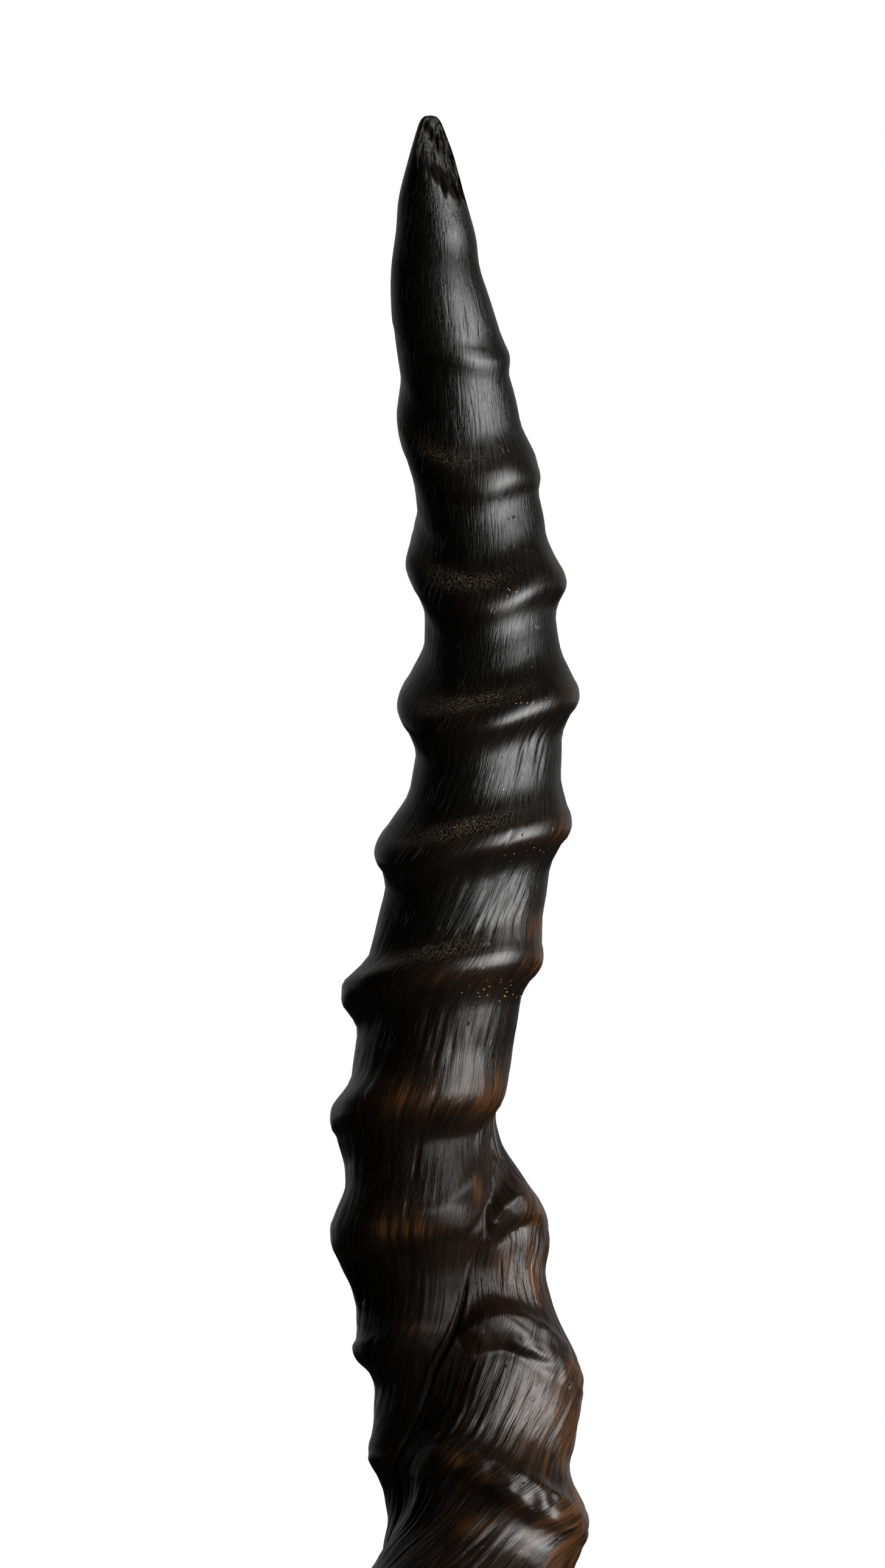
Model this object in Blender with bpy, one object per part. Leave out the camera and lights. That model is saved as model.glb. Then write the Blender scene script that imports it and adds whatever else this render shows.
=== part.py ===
"""A twisted, ringed antelope horn on a steel rod, which stands in a square wooden base.

Metres, +Z up. The base's underside is at z = 0, the rod's axis is x = y = 0,
and the horn's display side faces -Y.
"""
import bmesh
import bpy
import numpy as np

# Heights above the table
BASE_HEIGHT = 0.030
FOOT_HEIGHT = 0.050
TIP_HEIGHT = 0.5206

# Base and rod
BASE_SIDE = 0.110
BASE_BEVEL = 0.002
ROD_RADIUS = 0.004
ROD_IN_BASE = 0.022
ROD_IN_HORN = 0.040
GAP = 0.0003

# The horn's twist: height of one turn, and a height where the coil leans towards +X
TURN_HEIGHT = 0.1545
TURN_START = 0.4328
GROOVE_LEAD = np.radians(20)

# (height, value) pairs down the horn: how far its middle line is from the twist's axis,
# how far that axis leans towards +X, its radius between rings, how much slimmer it is
# towards the coil's outside than across, and how deep its groove is
COIL = [(0.5206, 0.0044), (0.5, 0.0034), (0.471, 0.0042), (0.433, 0.006), (0.355, 0.0062),
        (0.28, 0.006), (0.2, 0.0054), (0.12, 0.004), (0.05, 0.0015)]
LEAN = [(0.5206, -0.0001), (0.5, 0.0001), (0.471, 0.0012), (0.433, 0.0003), (0.394, 0.0021),
        (0.372, 0.0021), (0.355, 0.0013), (0.344, 0.0015), (0.334, 0.0023), (0.317, 0.0018),
        (0.298, -0.0007), (0.278, -0.0022), (0.24, -0.001), (0.2, 0.0), (0.05, 0.0)]
RADIUS = [(0.5206, 0.0), (0.5186, 0.0017), (0.5146, 0.0032), (0.5086, 0.0048), (0.4996, 0.0067),
          (0.4876, 0.0079), (0.4756, 0.0088), (0.4567, 0.0098), (0.438, 0.0109), (0.417, 0.012),
          (0.393, 0.0126), (0.368, 0.0131), (0.353, 0.0135), (0.34, 0.0146), (0.323, 0.0148),
          (0.3, 0.0152), (0.278, 0.0170), (0.2, 0.0175), (0.12, 0.0186), (0.05, 0.0196)]
SLIMNESS = [(0.5206, 0.0), (0.433, 0.01), (0.394, 0.04), (0.355, 0.08), (0.317, 0.1),
            (0.278, 0.09), (0.15, 0.06), (0.05, 0.02)]
GROOVE = [(0.5206, 0.0), (0.366, 0.0), (0.352, 0.0016), (0.34, 0.003), (0.317, 0.003),
          (0.278, 0.0026), (0.15, 0.0018), (0.08, 0.0006), (0.05, 0.0)]

# Rings from the tip down. Each has its crest's height and its swell at the left, front left,
# front, front right and right, then, at the left and the right, how far down the gap above it
# its shoulder starts and how far down the gap below it has fallen away
RINGS = [
    ((0.4891, 0.4851, 0.4816, 0.4806, 0.4821), (0.0007, 0.0007, 0.0007, 0.0007, 0.0007),
     (0.56, 0.56), (0.38, 0.38)),
    ((0.4694, 0.4628, 0.4601, 0.4618, 0.4631), (0.0015, 0.0015, 0.0015, 0.0015, 0.0016),
     (0.56, 0.56), (0.38, 0.38)),
    ((0.4471, 0.4416, 0.4405, 0.4439, 0.4444), (0.0025, 0.0022, 0.0022, 0.0022, 0.0021),
     (0.62, 0.56), (0.36, 0.34)),
    ((0.4240, 0.4201, 0.4212, 0.4244, 0.4253), (0.0034, 0.0030, 0.0030, 0.0027, 0.0025),
     (0.58, 0.60), (0.34, 0.34)),
    ((0.4004, 0.3984, 0.4007, 0.4030, 0.4043), (0.0031, 0.0030, 0.0028, 0.0025, 0.0019),
     (0.58, 0.60), (0.32, 0.32)),
    ((0.3764, 0.3784, 0.3804, 0.3817, 0.3814), (0.0034, 0.0030, 0.0026, 0.0022, 0.0018),
     (0.72, 0.60), (0.32, 0.30)),
    ((0.3562, 0.3578, 0.3584, 0.3591, 0.3601), (0.0028, 0.0025, 0.0024, 0.0016, 0.0008),
     (0.66, 0.60), (0.46, 0.26)),
    ((0.3364, 0.3370, 0.3388, 0.3416, 0.3393), (0.0028, 0.0024, 0.0019, 0.0022, 0.0037),
     (0.56, 0.30), (0.50, 0.30)),
    ((0.3181, 0.3161, 0.3191, 0.3168, 0.3129), (0.0014, 0.0018, 0.0018, 0.0026, 0.0027),
     (0.60, 0.60), (0.34, 0.32)),
    ((0.3004, 0.2996, 0.2998, 0.2924, 0.2891), (0.0015, 0.0018, 0.0024, 0.0030, 0.0036),
     (0.60, 0.74), (0.34, 0.50)),
    ((0.2798, 0.2796, 0.2784, 0.2746, 0.2706), (0.0034, 0.0030, 0.0028, 0.0028, 0.0028),
     (0.40, 0.60), (0.34, 0.34)),
]

# How a ring's crest is rounded off, as shares of its fall and of the gap above it
CREST_ROUND = 0.04
SHOULDER_END = 0.95

# Below those, even rings that come closer together, flatter and more level towards the foot.
# Each pair is the value at the foot and at the top one
EVEN_GAP = (0.0085, 0.018)
EVEN_SWELL = (0.0013, 0.0029)
EVEN_TILT = (0.0007, 0.0046)
EVEN_SIDES = ((0.58, 0.58), (0.34, 0.34))
HIGH_SIDE = np.radians(15)
WOBBLE = 0.00035
SEED = 7

# Half widths of the groove on its two sides, and how rings fade where they cross it
GROOVE_WIDTHS = (np.radians(15), np.radians(24))
GROOVE_FADE = 0.4
GROOVE_FADE_WIDTH = np.radians(50)

# Mesh: sides round the horn, and rows as shares of the gap from one crest to the next
SIDES = 24
TIP_ROWS = (0.0, 0.03, 0.09, 0.18, 0.28, 0.4, 0.52, 0.64, 0.76, 0.88)
GAP_ROWS = (0.0, 0.11, 0.22, 0.34, 0.56, 0.7, 0.84)
LOW_ROWS = (0.0, 0.17, 0.36, 0.62, 0.82)
FINE_RINGS = 11

# The chip at the tip is a flat cut. It is turned from +X towards the viewer, leans back, and
# is this far from the horn's middle at its foot
CHIP_TURN = np.radians(-60)
CHIP_SLOPE = np.radians(14.5)
CHIP_FOOT = 0.509
CHIP_REACH = 0.0047
CHIP_BOX = 0.04


def smooth_curve(points, x):
    """Smooth curve through (height, value) points, which never overshoots them."""
    xs, ys = np.array(sorted(points)).T
    step = np.diff(xs)
    slope = np.diff(ys) / step
    product = slope[1:] * slope[:-1]
    total = np.where(product > 0, slope[1:] + slope[:-1], 1)
    bends = np.where(product > 0, 2 * product / total, 0)
    bends = np.concatenate([slope[:1], bends, slope[-1:]])
    x = np.clip(x, xs[0], xs[-1])
    i = np.clip(np.searchsorted(xs, x, side="right") - 1, 0, len(xs) - 2)
    s = (x - xs[i]) / step[i]
    rise = s * s * (3 - 2 * s)
    leave = s * (1 - s) ** 2 * step[i] * bends[i]
    arrive = s * s * (s - 1) * step[i] * bends[i + 1]
    return ys[i] + rise * (ys[i + 1] - ys[i]) + leave + arrive


def ease(x):
    """Soft step from 0 to 1 as x goes from 0 to 1."""
    x = np.clip(x, 0, 1)
    return x * x * (3 - 2 * x)


def bell(x):
    """1 at x = 0, falling away on both sides."""
    return np.exp(-x * x)


def coil_angle(height):
    """Direction in which the twist carries the horn off its axis."""
    return 2 * np.pi * (height - TURN_START) / TURN_HEIGHT


def middle_line(height):
    """Where the middle of the horn is at a height."""
    coil = smooth_curve(COIL, height)
    out = coil_angle(height)
    return smooth_curve(LEAN, height) + coil * np.cos(out), coil * np.sin(out)


def off_groove(angle, height):
    """Angle from the groove, which runs along the hollow side of the twist."""
    off = angle - coil_angle(height) - np.pi + GROOVE_LEAD
    return (off + np.pi) % (2 * np.pi) - np.pi


def round_the_horn(values, angle):
    """Smooth closed curve through eight values, 45 degrees apart from +X."""
    place = (angle % (2 * np.pi)) / (np.pi / 4)
    i = np.floor(place).astype(int)
    s = place - i
    before, here, after, beyond = (values[(i + k) % 8] for k in (-1, 0, 1, 2))
    first = after - before
    second = 2 * before - 5 * here + 4 * after - beyond
    third = 3 * (here - after) + beyond - before
    return here + 0.5 * s * (first + s * (second + s * third))


def between(pair, share):
    """Value a share of the way from the first of a pair to the second."""
    return pair[0] + (pair[1] - pair[0]) * share


def with_heights_behind(row):
    """Eight crest heights from five: the back of a crest rises where its front falls."""
    left, front_left, front, front_right, right = row
    middle = (left + right) / 2
    side = (right - left) * np.sqrt(0.125)
    back_right = 2 * (middle + side) - front_right
    back_left = 2 * (middle - side) - front_left
    back = 2 * middle - front
    return np.array([right, back_right, back, back_left, left, front_left, front, front_right])


def with_swells_behind(row):
    """Eight swells from five: the back is like the side it is nearest."""
    left, front_left, front, front_right, right = row
    return np.array([right, right, (left + right) / 2, left, left, front_left, front, front_right])


def all_rings():
    """Every ring from the tip down, with eight heights and eight swells each."""
    rings = [(with_heights_behind(heights), with_swells_behind(swells), shoulder, fall)
             for heights, swells, shoulder, fall in RINGS]
    chance = np.random.default_rng(SEED)
    compass = np.arange(8) * np.pi / 4
    top = rings[-1][0].mean()
    height = top - EVEN_GAP[1]
    while height > FOOT_HEIGHT + EVEN_GAP[0]:
        share = (height - FOOT_HEIGHT) / (top - FOOT_HEIGHT)
        off = off_groove(compass, height)
        tilt = between(EVEN_TILT, min(1, 2.5 * share))
        crest = height + tilt * np.cos(off - HIGH_SIDE) + chance.normal(0, WOBBLE, 8)
        swell = between(EVEN_SWELL, share) * (1 - GROOVE_FADE * bell(off / GROOVE_FADE_WIDTH))
        rings.append((crest, swell, *EVEN_SIDES))
        height -= between(EVEN_GAP, share)
    return rings


def horn_points(angle, place, rings):
    """Points on the horn. Place is 0 at the tip, k at ring k's crest, and one more at the foot."""
    heights = [round_the_horn(ring[0], angle) for ring in rings]
    swells = [round_the_horn(ring[1], angle) for ring in rings]
    to_right = 0.5 + 0.5 * np.cos(angle)
    shoulders = [between(ring[2], to_right) for ring in rings]
    falls = [between(ring[3], to_right) for ring in rings]
    same = np.ones_like(angle)
    heights = np.array([TIP_HEIGHT * same, *heights, FOOT_HEIGHT * same])
    swells = np.array([0 * same, *swells, 0 * same])
    shoulders = np.array([0 * same, *shoulders, 0.5 * same])
    falls = np.array([same, *falls, same])

    above = np.minimum(place.astype(int), len(rings))
    share = place - above
    column = np.arange(len(angle))
    height = heights[above, column] * (1 - share) + heights[above + 1, column] * share
    fallen = ease((share / falls[above, column] - CREST_ROUND) / (1 - CREST_ROUND))
    shoulder = shoulders[above + 1, column]
    risen = ease((share - shoulder) / (SHOULDER_END - shoulder))

    slimness = smooth_curve(SLIMNESS, height) * np.cos(2 * (angle - coil_angle(height)))
    radius = smooth_curve(RADIUS, height) * (1 - slimness)
    radius += swells[above, column] * (1 - fallen) + swells[above + 1, column] * risen
    off = off_groove(angle, height)
    radius -= smooth_curve(GROOVE, height) * bell(off / np.where(off > 0, GROOVE_WIDTHS[1], GROOVE_WIDTHS[0]))

    x, y = middle_line(height)
    x = x + radius * np.cos(angle)
    y = y + radius * np.sin(angle)
    return np.stack([x, y, height], axis=1)


def row_places(ring_count):
    """Place of each row of the mesh, from the tip to the foot."""
    places = list(TIP_ROWS)
    for k in range(1, ring_count + 1):
        shares = GAP_ROWS if k <= FINE_RINGS else LOW_ROWS
        places += [k + share for share in shares]
    return np.array(places + [ring_count + 1])


def add_object(name, bm, sharp_angle, surface=None):
    """Turn a bmesh into a named object, smooth but for edges sharper than an angle."""
    bmesh.ops.recalc_face_normals(bm, faces=bm.faces)
    mesh = bpy.data.meshes.new(name)
    bm.to_mesh(mesh)
    bm.free()
    mesh.shade_smooth()
    mesh.set_sharp_from_angle(angle=sharp_angle)
    obj = bpy.data.objects.new(name, mesh)
    bpy.context.collection.objects.link(obj)
    if surface:
        mesh.materials.append(surface)
    return obj


def material(name, colour, roughness, metallic):
    """Principled material in one plain colour."""
    made = bpy.data.materials.new(name)
    made.use_nodes = True
    shader = made.node_tree.nodes["Principled BSDF"]
    shader.inputs["Base Color"].default_value = (*colour, 1)
    shader.inputs["Roughness"].default_value = roughness
    shader.inputs["Metallic"].default_value = metallic
    made.diffuse_color = (*colour, 1)
    return made


def upright_cylinder(radius, bottom, top):
    """Bmesh of a round bar on the rod's axis."""
    bm = bmesh.new()
    bmesh.ops.create_cone(bm, cap_ends=True, segments=32, radius1=radius, radius2=radius, depth=top - bottom)
    bmesh.ops.translate(bm, verts=bm.verts, vec=(0, 0, (bottom + top) / 2))
    return bm


def make_guide(obj):
    """Show a cutter as a wire guide, which isn't part of the object."""
    obj.hide_render = True
    obj.display_type = "WIRE"


def cut(obj, cutter):
    """Take the cutter's shape out of the object."""
    boolean = obj.modifiers.new(cutter.name, "BOOLEAN")
    boolean.operation = "DIFFERENCE"
    boolean.solver = "EXACT"
    boolean.object = cutter


def make_horn():
    """The horn: a grid rolled into a tube that follows the rings, closed at the tip and the foot."""
    rings = all_rings()
    places = row_places(len(rings))
    bm = bmesh.new()
    bmesh.ops.create_grid(bm, x_segments=SIDES, y_segments=len(places) - 1, size=0.5)
    grid = np.array([vert.co for vert in bm.verts])
    angle = 2 * np.pi * (grid[:, 0] + 0.5)
    row = np.rint((grid[:, 1] + 0.5) * (len(places) - 1)).astype(int)
    for vert, point in zip(bm.verts, horn_points(angle, places[row], rings)):
        vert.co = point
    bmesh.ops.remove_doubles(bm, verts=bm.verts, dist=1e-6)
    bmesh.ops.holes_fill(bm, edges=bm.edges)
    keratin = material("keratin", (0.020, 0.016, 0.014), 0.38, 0)
    return add_object("horn", bm, np.radians(70), keratin)


def make_chip_cutter():
    """Box whose face is the flat of the chip at the horn's tip."""
    bm = bmesh.new()
    bmesh.ops.create_cube(bm, size=CHIP_BOX)
    bmesh.ops.translate(bm, verts=bm.verts, vec=(CHIP_BOX / 2, 0, 0))
    cutter = add_object("chip_cutter", bm, np.radians(30))
    x, y = middle_line(CHIP_FOOT)
    cutter.location = (x + CHIP_REACH * np.cos(CHIP_TURN), y + CHIP_REACH * np.sin(CHIP_TURN), CHIP_FOOT)
    cutter.rotation_euler = (0, -CHIP_SLOPE, CHIP_TURN)
    make_guide(cutter)
    return cutter


def make_rod_hole():
    """Cutter for the blind holes in the horn's foot and the base's top."""
    bm = upright_cylinder(ROD_RADIUS + GAP, BASE_HEIGHT - ROD_IN_BASE, FOOT_HEIGHT + ROD_IN_HORN + GAP)
    cutter = add_object("rod_hole", bm, np.radians(30))
    make_guide(cutter)
    return cutter


def make_rod():
    """The steel rod between the base and the horn."""
    bm = upright_cylinder(ROD_RADIUS, BASE_HEIGHT - ROD_IN_BASE + GAP, FOOT_HEIGHT + ROD_IN_HORN)
    steel = material("steel", (0.35, 0.35, 0.36), 0.3, 1)
    return add_object("mounting_rod", bm, np.radians(30), steel)


def make_base():
    """The square wooden base, with its edges eased."""
    bm = bmesh.new()
    bmesh.ops.create_cube(bm, size=1)
    bmesh.ops.scale(bm, verts=bm.verts, vec=(BASE_SIDE, BASE_SIDE, BASE_HEIGHT))
    bmesh.ops.translate(bm, verts=bm.verts, vec=(0, 0, BASE_HEIGHT / 2))
    wood = material("ebonised_wood", (0.018, 0.012, 0.009), 0.4, 0)
    base = add_object("base", bm, np.radians(40), wood)
    bevel = base.modifiers.new("eased_edges", "BEVEL")
    bevel.width = BASE_BEVEL
    bevel.segments = 3
    return base


for old in list(bpy.data.objects):
    bpy.data.objects.remove(old)

rod_hole = make_rod_hole()
base = make_base()
cut(base, rod_hole)
make_rod()
horn = make_horn()
cut(horn, make_chip_cutter())
cut(horn, rod_hole)
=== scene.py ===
import bmesh
import bpy
import numpy as np
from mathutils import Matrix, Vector, noise


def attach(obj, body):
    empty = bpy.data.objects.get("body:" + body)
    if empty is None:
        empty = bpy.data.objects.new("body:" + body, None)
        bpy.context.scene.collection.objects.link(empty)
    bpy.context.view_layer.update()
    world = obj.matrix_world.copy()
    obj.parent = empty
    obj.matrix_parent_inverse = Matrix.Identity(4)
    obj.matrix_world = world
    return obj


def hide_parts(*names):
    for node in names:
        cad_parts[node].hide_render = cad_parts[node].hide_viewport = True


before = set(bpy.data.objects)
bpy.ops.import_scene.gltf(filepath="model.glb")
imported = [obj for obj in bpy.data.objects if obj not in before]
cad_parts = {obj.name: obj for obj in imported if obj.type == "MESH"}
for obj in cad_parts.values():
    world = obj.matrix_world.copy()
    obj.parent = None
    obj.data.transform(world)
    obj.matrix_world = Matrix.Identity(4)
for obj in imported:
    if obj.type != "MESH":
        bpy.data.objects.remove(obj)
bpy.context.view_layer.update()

# Base: a square block of hardwood, sawn, sanded, stained black and waxed, with its edges eased.
# The rod is glued into a blind hole in its top, and it stands on its flat underside.

EBONISED_WOOD = "#15100D"
EBONISED_WOOD_PORE = "#070504"
EBONISED_WOOD_RUBBED = "#2A1C14"
WOOD_VESSEL_WIDTH = 0.0006
WOOD_VESSEL_LENGTH = 0.009
WOOD_PORE_DEPTH = 0.0001
WOOD_RING_WIDTH = 0.0045


def linear(colour):
    """A #RRGGBB colour as linear red, green, blue and alpha."""
    parts = [int(colour[i:i + 2], 16) / 255 for i in (1, 3, 5)]
    return (*[((part + 0.055) / 1.055) ** 2.4 if part > 0.04045 else part / 12.92 for part in parts], 1)


def add_node(tree, kind, inputs=None, **settings):
    """Add a node, set its own settings, and link or set its inputs, each given by name or number."""
    node = tree.nodes.new(kind)
    for name, value in settings.items():
        setattr(node, name, value)
    for name, value in (inputs or {}).items():
        if isinstance(value, bpy.types.Node):
            value = next(output for output in value.outputs if output.enabled)
        if isinstance(value, bpy.types.NodeSocket):
            tree.links.new(value, node.inputs[name])
        else:
            node.inputs[name].default_value = value
    return node


def new_material(name):
    """A fresh material: itself, its node tree and its Principled shader."""
    material = bpy.data.materials.new(name)
    material.use_nodes = True
    return material, material.node_tree, material.node_tree.nodes["Principled BSDF"]


def drive(tree, shader, **nodes):
    """Link nodes to the shader's own sockets, each named with _ for a space."""
    for name, node in nodes.items():
        output = next(output for output in node.outputs if output.enabled)
        tree.links.new(output, shader.inputs[name.replace("_", " ")])


# Ebonised hardwood, waxed: nearly black, with pores and growth rings that show in the sheen. The
# pores of the real wood are finer, and are drawn as coarse as they need to show
wood, tree, shader = new_material("ebonised_hardwood")
coords = add_node(tree, "ShaderNodeTexCoord").outputs["Object"]
along = add_node(tree, "ShaderNodeMapping", {
    "Vector": coords, "Scale": (WOOD_VESSEL_WIDTH / WOOD_VESSEL_LENGTH, 1, 1)})
vessels = add_node(tree, "ShaderNodeTexNoise", {"Vector": along, "Scale": 1 / WOOD_VESSEL_WIDTH, "Detail": 3})
growth = add_node(tree, "ShaderNodeTexNoise", {"Vector": along, "Scale": 1 / WOOD_RING_WIDTH, "Detail": 2})
pores = add_node(tree, "ShaderNodeMapRange", {"Value": vessels, "From Min": 0.56, "From Max": 0.66})
stained = add_node(tree, "ShaderNodeMix", data_type="RGBA", inputs={
    "Factor": growth, "A": linear(EBONISED_WOOD), "B": linear(EBONISED_WOOD_RUBBED)})
grained = add_node(tree, "ShaderNodeMix", data_type="RGBA", inputs={
    "Factor": pores, "A": stained, "B": linear(EBONISED_WOOD_PORE)})
sheen = add_node(tree, "ShaderNodeMapRange", {"Value": growth, "To Min": 0.34, "To Max": 0.46})
relief = add_node(tree, "ShaderNodeBump", invert=True, inputs={
    "Strength": 0.5, "Distance": WOOD_PORE_DEPTH, "Height": pores})
drive(tree, shader, Base_Color=grained, Roughness=sheen, Normal=relief)
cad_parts["base"].material_slots[0].material = wood

# Rod: a length of plain drawn steel bar, cut square, brushed down and lacquered. One end is
# glued into the base and the other goes up the drilled foot of the horn.

DRAWN_STEEL = "#8B8A88"
DRAWN_STEEL_DARK = "#5F5D5A"
DRAW_LINE_WIDTH = 0.0006
DRAW_LINE_LENGTH = 0.03
DRAW_LINE_DEPTH = 0.00002
STEEL_CLOUD = 0.011

# Drawn steel, brushed and lacquered: grey, with lines along it that stretch its highlight. The
# real lines are finer, and are drawn as coarse as they need to show
steel, tree, shader = new_material("drawn_steel")
coords = add_node(tree, "ShaderNodeTexCoord").outputs["Object"]
drawn = add_node(tree, "ShaderNodeMapping", {
    "Vector": coords, "Scale": (1, 1, DRAW_LINE_WIDTH / DRAW_LINE_LENGTH)})
lines = add_node(tree, "ShaderNodeTexNoise", {"Vector": drawn, "Scale": 1 / DRAW_LINE_WIDTH, "Detail": 2})
cloud = add_node(tree, "ShaderNodeTexNoise", {"Vector": coords, "Scale": 1 / STEEL_CLOUD, "Detail": 3})
toned = add_node(tree, "ShaderNodeMix", data_type="RGBA", inputs={
    "Factor": cloud, "A": linear(DRAWN_STEEL), "B": linear(DRAWN_STEEL_DARK)})
brushed = add_node(tree, "ShaderNodeMapRange", {"Value": lines, "To Min": 0.22, "To Max": 0.4})
scratches = add_node(tree, "ShaderNodeBump", {
    "Strength": 0.25, "Distance": DRAW_LINE_DEPTH, "Height": lines})
shader.inputs["Metallic"].default_value = 1
drive(tree, shader, Base_Color=toned, Roughness=brushed, Normal=scratches)
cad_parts["mounting_rod"].material_slots[0].material = steel

# Horn: the sheath of one grown horn, keratin laid down in rings round a bony core, with its
# fibres winding up it. It is one piece, oiled and rubbed, drilled up the foot for the rod.

# Its two ends, and the hole up its foot, which leaves room for glue round the rod and above it
TIP_HEIGHT = 0.5206
FOOT_HEIGHT = 0.050
HOLE_RADIUS = 0.0043
HOLE_TOP = 0.0903

# The twist: the height of a turn, a height at which it carries the horn towards +X, and how far
# the groove lies before the hollow side. Last, a mean radius, which turns angles into lengths
TURN_HEIGHT = 0.1545
TURN_START = 0.4328
GROOVE_LEAD = np.radians(20)
MEAN_RADIUS = 0.015

# (height, value) pairs: distance of the middle line from the twist's axis, lean of that axis
# towards +X, radius between rings, how much slimmer it is towards the coil's outside, depth of
# the groove, how many degrees to the right its middle lies, and how far its right side reaches
COIL = [(0.5206, 0.0044), (0.5, 0.0034), (0.471, 0.0042), (0.433, 0.006), (0.355, 0.0062),
        (0.28, 0.006), (0.2, 0.0054), (0.12, 0.004), (0.05, 0.0015)]
LEAN = [(0.5206, -0.0001), (0.5, 0.0001), (0.471, 0.0012), (0.433, 0.0003), (0.394, 0.0021),
        (0.372, 0.0021), (0.355, 0.0013), (0.344, 0.0015), (0.334, 0.0023), (0.317, 0.0018),
        (0.298, -0.0007), (0.278, -0.0022), (0.24, -0.001), (0.2, 0.0), (0.05, 0.0)]
RADIUS = [(0.5206, 0.0), (0.52045, 0.0009), (0.5196, 0.0017), (0.5181, 0.0023), (0.5166, 0.0028),
          (0.5146, 0.0034), (0.5086, 0.0048), (0.4996, 0.0067), (0.4876, 0.0079), (0.4756, 0.0088),
          (0.4567, 0.0098), (0.438, 0.0109), (0.417, 0.012), (0.393, 0.0126), (0.368, 0.0131),
          (0.353, 0.0135), (0.34, 0.0146), (0.323, 0.0148), (0.3, 0.0152), (0.278, 0.0170),
          (0.2, 0.0175), (0.12, 0.0186), (0.05, 0.0196)]
SLIMNESS = [(0.5206, 0.0), (0.433, 0.01), (0.394, 0.04), (0.355, 0.08), (0.317, 0.1),
            (0.278, 0.09), (0.15, 0.06), (0.05, 0.02)]
GROOVE = [(0.5206, 0.0), (0.366, 0.0), (0.352, 0.0016), (0.342, 0.0024), (0.328, 0.0024), (0.317, 0.0020),
          (0.300, 0.0024), (0.278, 0.0026), (0.15, 0.0018), (0.08, 0.0006), (0.05, 0.0)]
GROOVE_SHIFT = [(0.5206, 0), (0.345, 0), (0.336, 12), (0.328, 18), (0.318, 12), (0.308, 0), (0.05, 0)]
GROOVE_LEFT = np.radians(22)
GROOVE_RIGHT = [(0.5206, 24), (0.345, 24), (0.330, 38), (0.318, 34), (0.305, 24), (0.05, 24)]

# Rings from the tip down. Crest height and swell are given at the left, front left, front,
# front right and right. The rest are (left, right): where the shoulder starts, where the
# fall ends, how far the crest stands up as a rope, and how brown it is. Last come the depths
# of the cuts above and below the rope
RINGS = [
    ((0.4891, 0.4851, 0.4816, 0.4806, 0.4821), (0.0007, 0.0007, 0.0008, 0.0009, 0.0008),
     (0.50, 0.60), (0.60, 0.26), (0.0, 0.0005), (0.0, 0.0), (0.0, 0.0002)),
    ((0.4694, 0.4628, 0.4601, 0.4618, 0.4631), (0.0015, 0.0015, 0.0015, 0.0015, 0.0016),
     (0.56, 0.60), (0.46, 0.30), (0.0001, 0.0004), (0.05, 0.1), (0.0002, 0.0003)),
    ((0.4471, 0.4416, 0.4405, 0.4439, 0.4444), (0.0025, 0.0022, 0.0022, 0.0022, 0.0021),
     (0.62, 0.56), (0.36, 0.34), (0.0004, 0.0004), (0.05, 0.2), (0.00035, 0.00025)),
    ((0.4240, 0.4201, 0.4212, 0.4244, 0.4253), (0.0034, 0.0030, 0.0030, 0.0027, 0.0025),
     (0.58, 0.60), (0.34, 0.34), (0.0005, 0.0005), (0.1, 0.3), (0.00045, 0.00035)),
    ((0.4004, 0.3984, 0.4007, 0.4030, 0.4043), (0.0031, 0.0030, 0.0028, 0.0025, 0.0019),
     (0.58, 0.60), (0.32, 0.32), (0.0005, 0.0005), (0.1, 0.5), (0.00045, 0.0004)),
    ((0.3764, 0.3784, 0.3804, 0.3817, 0.3814), (0.0034, 0.0030, 0.0026, 0.0022, 0.0018),
     (0.72, 0.60), (0.32, 0.30), (0.0005, 0.0005), (0.15, 0.7), (0.0004, 0.00035)),
    ((0.3562, 0.3578, 0.3584, 0.3591, 0.3601), (0.0028, 0.0025, 0.0024, 0.0016, 0.0008),
     (0.66, 0.60), (0.46, 0.26), (0.0002, 0.0003), (0.5, 0.7), (0.0001, 0.00045)),
    ((0.3364, 0.3370, 0.3390, 0.3380, 0.3404), (0.0028, 0.0024, 0.0019, 0.0020, 0.0036),
     (0.56, 0.42), (0.50, 0.40), (0.0001, 0.0002), (0.5, 0.6), (0.0002, 0.0002)),
    ((0.3181, 0.3176, 0.3191, 0.3168, 0.3125), (0.0014, 0.0016, 0.0014, 0.0013, 0.0022),
     (0.60, 0.50), (0.34, 0.75), (0.0002, 0.0001), (0.2, 0.5), (0.0003, 0.0002)),
    ((0.3004, 0.2996, 0.2998, 0.2916, 0.2888), (0.0015, 0.0018, 0.0018, 0.0024, 0.0034),
     (0.60, 0.55), (0.34, 0.50), (0.0002, 0.0002), (0.3, 0.6), (0.0003, 0.0002)),
    ((0.2798, 0.2796, 0.2784, 0.2746, 0.2706), (0.0034, 0.0030, 0.0028, 0.0028, 0.0028),
     (0.40, 0.60), (0.34, 0.34), (0.0005, 0.0005), (0.5, 0.5), (0.0003, 0.0003)),
]

# Shares of the way between two crests where the upper one starts to fall and the lower one is full
FALL_START = 0.04
SHOULDER_END = 0.95

# Bends in one ring's crest line: ring, rise, degrees round from +X, and half width in degrees
BENDS = [(8, 0.0028, -28, 17), (9, 0.0034, -60, 14), (9, 0.0012, -128, 20), (10, 0.0008, -100, 12),
         (10, -0.0012, -78, 12)]

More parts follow.
